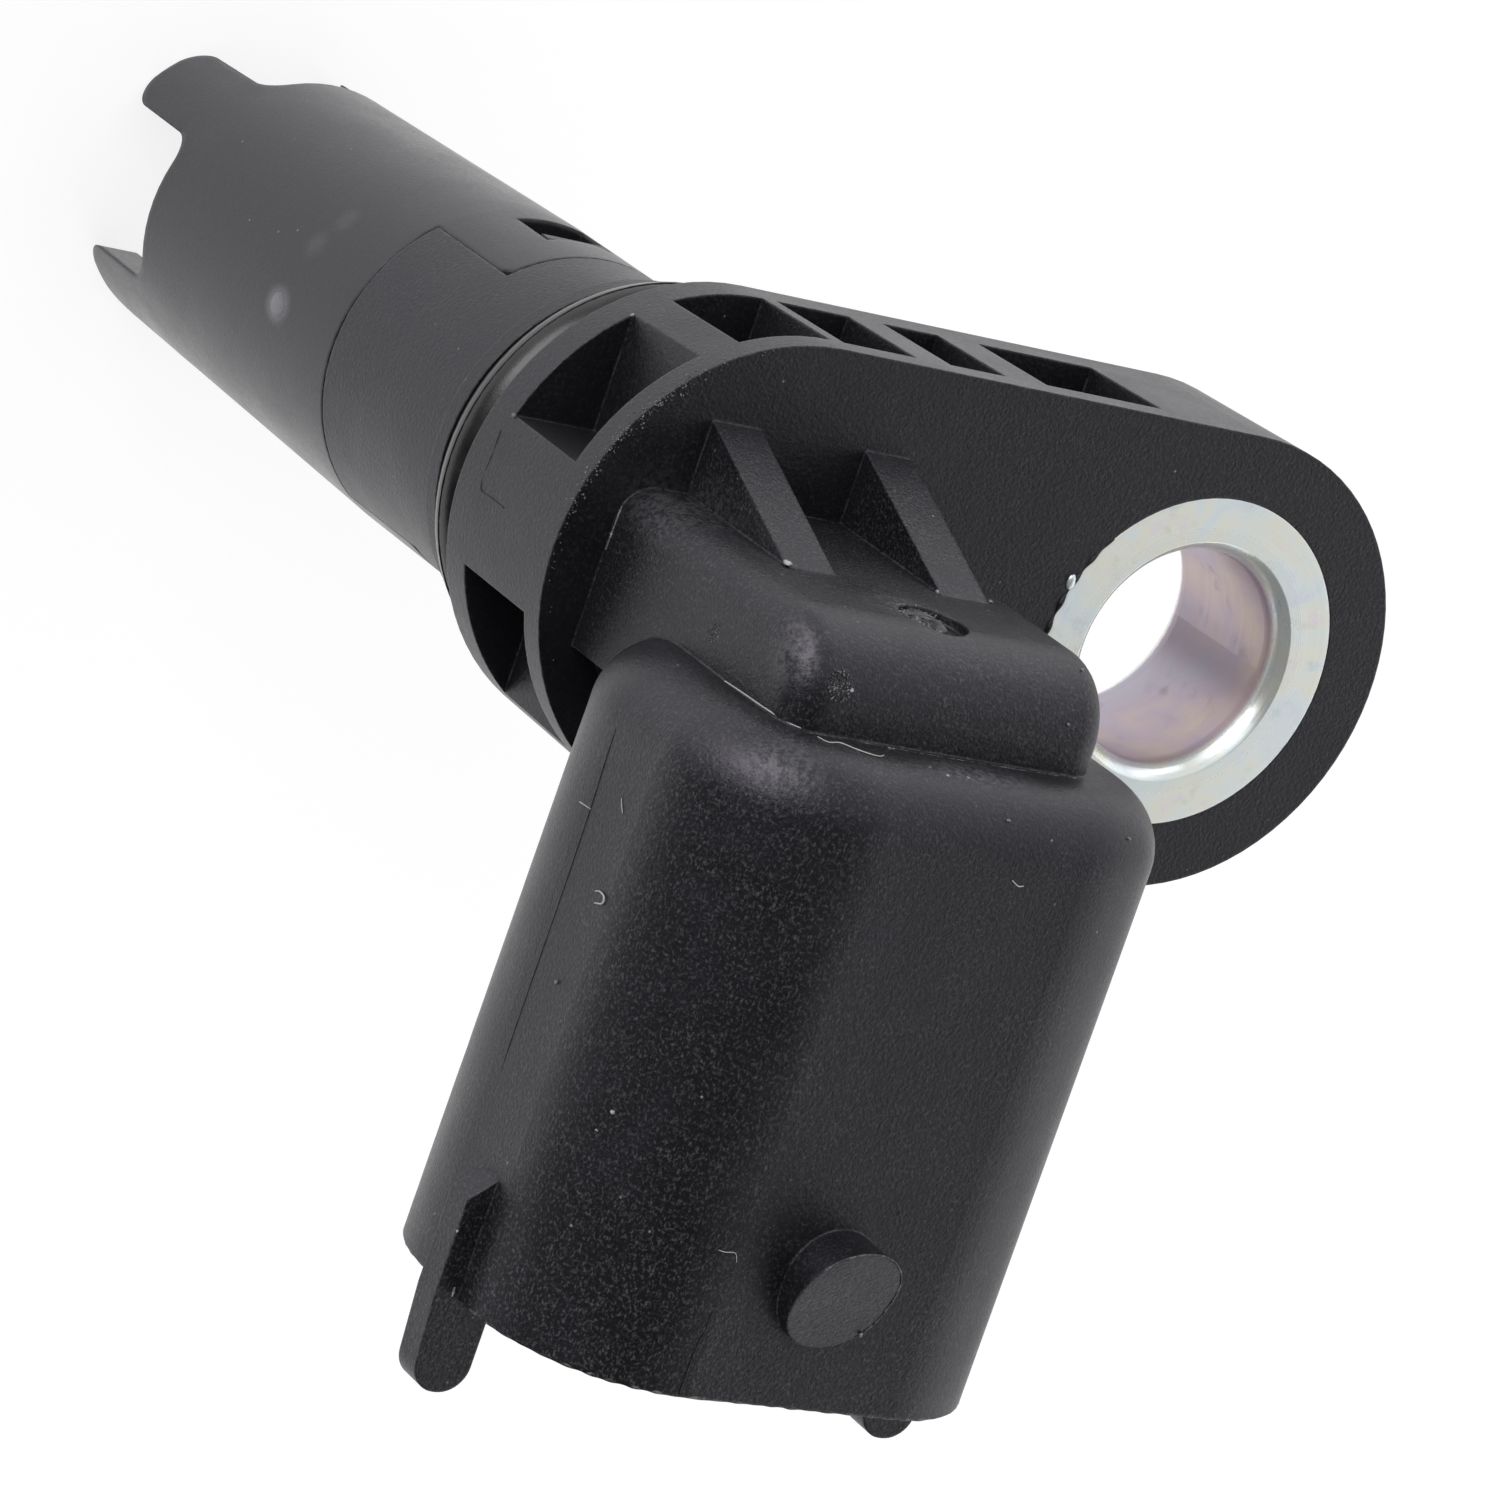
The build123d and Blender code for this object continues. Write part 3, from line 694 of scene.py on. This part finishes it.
def lint_strands():
    """The hairs and short fibres that lie on the moulding, each tapering to its ends."""
    strands = {
        "hair_top": ([(-5.75, -0.58, 13.6), (-5.6, -0.6, 14.3), (-5.44, -0.64, 15.0), (-5.3, -0.66, 15.6),
                      (-5.1, -0.69, 16.0), (-4.85, -0.71, 16.25)], 0.026),
        "hair_front": ([(-4.6, -0.72, 16.72), (-4.4, -0.73, 17.0), (-4.0, -0.71, 16.96), (-3.6, -0.72, 17.3),
                        (-3.1, -0.74, 17.46), (-2.8, -0.74, 17.3)], 0.02),
        "curl": ([(-7.66, -6.74, 13.9), (-7.68, -6.66, 14.15), (-7.69, -6.7, 14.4), (-7.69, -6.88, 14.42),
                  (-7.67, -7.02, 14.05)], 0.028),
        "hairline": ([(-7.5, -5.12, 11.15), (-7.62, -5.05, 11.85), (-7.65, -5.0, 12.45)], 0.018),
        "fibre_flat": ([(-7.65, -4.2, 13.62), (-7.66, -4.35, 13.75), (-7.65, -4.52, 13.9)], 0.014),
        "fibre_front": ([(-3.85, -14.27, 19.13), (-3.62, -14.3, 19.14), (-3.3, -14.3, 19.14),
                         (-3.15, -14.55, 19.13)], 0.012),
        "fibre_side": ([(1.19, -2.99, 19.08), (1.44, -3.12, 19.08), (1.62, -3.1, 19.07)], 0.02)}
    count = 60
    taper = np.sin(np.linspace(0.25, 2.9, count)) ** 0.3
    for name, (points, radius) in strands.items():
        grid_mesh(name, cord_round(eased(points, count), radius * taper), LINT)


def loose_crumbs():
    """Single pale crumbs where the photograph has them."""
    places = [(-2.05, -0.74, 16.58), (-2.2, -0.74, 16.62), (-1.46, -0.79, 17.57), (-0.98, -0.86, 17.79),
              (-0.29, -0.84, 17.73), (3.39, 0.65, 16.26), (0.7, -1.51, 18.67), (4.88, -1.53, 18.46),
              (-7.68, -9.49, 13.61), (-7.0, -11.64, 17.0), (-7.14, -12.28, 16.78), (-3.73, 0.55, 16.3),
              (4.06, 1.9, 15.18)]
    crumbs("crumbs", places, 0.03, 0.075, PALE_CHIP)


def front_dust():
    """Dust strewn over the shell's front face."""
    count = 26
    x = dice.uniform(-3.2, 3.2, count)
    y = dice.uniform(-18.0, -2.9, count)
    crumbs("dust_front", np.c_[x, y, np.full(count, SHELL_FRONT)], 0.012, 0.03, ROUGH)


def chips():
    """Paler chips and burrs at a few sharp corners."""
    places = {"chip_pocket_low": ((-6.5, 2.2, 1.15), (0.07, 0.06, 0.08)),
              "chip_pocket_high": ((-3.85, 5.62, 1.15), (0.09, 0.05, 0.06)),
              "chip_gusset_left": ((-3.37, 2.22, 11.2), (0.12, 0.07, 0.16)),
              "chip_gusset_right": ((1.8, 2.16, 11.0), (0.08, 0.05, 0.1)),
              "chip_gusset_far": ((3.57, 2.15, 11.0), (0.07, 0.04, 0.09)),
              "burr_nub": ((1.18, -16.0, 19.62), (0.05, 0.07, 0.04)),
              "chip_key_high": ((-8.42, -16.61, 14.12), (0.04, 0.05, 0.03)),
              "chip_key_low": ((-7.9, -18.33, 14.12), (0.04, 0.16, 0.03))}
    for name, (centre, radii) in places.items():
        grid_mesh(name, lump(centre, radii, 0.25), PALE_CHIP)


def cage_mark():
    """The low button where the cage was gated, on its -X side."""
    button = lump((-5.06, 0.05, -14.8), (0.085, 0.45, 0.55), rings=13, sides=28)
    grid_mesh("cage_gate_button", button, CAGE_BLACK)


rim_flash()
side_seams()
mould_lines()
rim_burrs_and_highlight()
pin_ring("pin_ring_front", (-4.12, 0.58, 16.27), (1, 0, 0), (0, 0.96, -0.28), 0.4, 110)
pin_ring("pin_ring_side", (-5.35, 0.16, 11.87), (0, 1, 0), (0, 0, 1), 0.28, 40)
drop_bead()
bead_collars()
ring_fins()
bush_rim()
gate_stub()
gate_bits()
lint_strands()
loose_crumbs()
front_dust()
chips()
cage_mark()


# Floor, light and camera, in metres

LAMP_TARGET = np.array([0.002, -0.004, 0.006])


def floor():
    """A plain white square floor that keeps a soft shadow, just under the cage."""
    half, shift = 0.075, 0.02
    low = float(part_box("probe_cage")[0].z) - 0.0001
    corners = [(shift + x * half, y * half, low) for x, y in ((-1, -1), (1, -1), (1, 1), (-1, 1))]
    mesh = bpy.data.meshes.new("floor")
    mesh.from_pydata(corners, [], [(0, 1, 2, 3)])
    piece = bpy.data.objects.new("floor", mesh)
    bpy.context.scene.collection.objects.link(piece)
    material, f = new_material("white_floor")
    ray = f.node("ShaderNodeLightPath", None, None, "Is Camera Ray")
    mirror = f.node("ShaderNodeLightPath", None, None, "Is Glossy Ray")
    through = f.node("ShaderNodeLightPath", None, None, "Is Transmission Ray")
    strength = ray * 0.78 + (mirror + through) * 0.85
    glow = f.node("ShaderNodeEmission", None, {"Color": (1.0, 1.0, 1.0, 1.0), "Strength": strength})
    matt = f.node("ShaderNodeBsdfDiffuse", None, {"Color": (0.32, 0.32, 0.32, 1.0)})
    both = f.node("ShaderNodeAddShader", None, {0: glow, 1: matt})
    f.node("ShaderNodeOutputMaterial", None, {"Surface": both})
    mesh.materials.append(material)


def world():
    """White behind the object, and for its reflections a pale lower half under a dim ceiling that is
    brighter towards the lamps."""
    made = bpy.data.worlds.new("studio")
    made.use_nodes = True
    bpy.context.scene.world = made
    f = Finish(made.node_tree)
    seen = f.node("ShaderNodeLightPath", None, None, "Is Camera Ray")
    mirror = f.node("ShaderNodeLightPath", None, None, "Is Glossy Ray")
    through = f.node("ShaderNodeLightPath", None, None, "Is Transmission Ray")
    x, y, z = f.axes(f.node("ShaderNodeTexCoord", None, None, "Generated"))
    low = f.rise(z, -0.08, -0.62)
    right = f.lobe((x, y, z), (0.97, -0.1, 0.2), 15, 65)
    behind = f.rise(y, 0.12, 0.55)
    left_back = f.lobe((x, y, z), (-0.72, 0.66, 0.2), 16, 42)
    studio = 0.03 + low * 0.45 + right * 0.74 + behind * 0.65 + left_back * 1.1
    level = seen + (mirror + through) * studio + (1.0 - f.clamp(seen + mirror + through)) * 0.62
    back = f.node("ShaderNodeBackground", None, {"Color": (1.0, 1.0, 1.0, 1.0), "Strength": level})
    f.node("ShaderNodeOutputWorld", None, {"Surface": back})


def softbox(name, towards, distance, size, radiance):
    """A square lamp that looks at the object; its power gives the wanted radiance over its face."""
    lamp = bpy.data.lights.new(name, "AREA")
    lamp.shape = "SQUARE"
    lamp.size = size
    lamp.energy = np.pi * size * size * radiance
    holder = bpy.data.objects.new(name, lamp)
    bpy.context.scene.collection.objects.link(holder)
    away = np.asarray(towards, float) / np.linalg.norm(towards)
    side = np.cross((0.0, 0.0, 1.0), away)
    side /= np.linalg.norm(side)
    up = np.cross(away, side)
    place = np.eye(4)
    place[:3, :] = np.stack([side, up, away, LAMP_TARGET + away * distance], -1)
    holder.matrix_world = Matrix([[float(v) for v in row] for row in place])


def camera():
    """The photograph's viewpoint: a long lens, up and to the left of the connector."""
    lens = bpy.data.cameras.new("camera")
    lens.lens = 175.846
    lens.sensor_width = 36.0
    lens.sensor_fit = "HORIZONTAL"
    lens.clip_start = 0.01
    lens.clip_end = 20.0
    holder = bpy.data.objects.new("camera", lens)
    bpy.context.scene.collection.objects.link(holder)
    holder.location = (-0.11388638, 0.04392745, 0.16543445)
    holder.rotation_euler = np.radians((-25.617009, -29.207622, 21.624645)).tolist()
    bpy.context.scene.camera = holder


floor()
world()
softbox("right_softbox", (0.88, -0.15, 0.36), 0.45, 0.3, 0.6)
softbox("back_softbox", (-0.7, 0.66, 0.2), 0.45, 0.3, 2.9)
softbox("front_softbox", (0.6, -0.75, 0.3), 0.45, 0.18, 1.5)
softbox("far_softbox", (0.42, 0.88, 0.0), 0.5, 0.34, 1.0)
camera()
bpy.context.scene.view_settings.view_transform = "Standard"
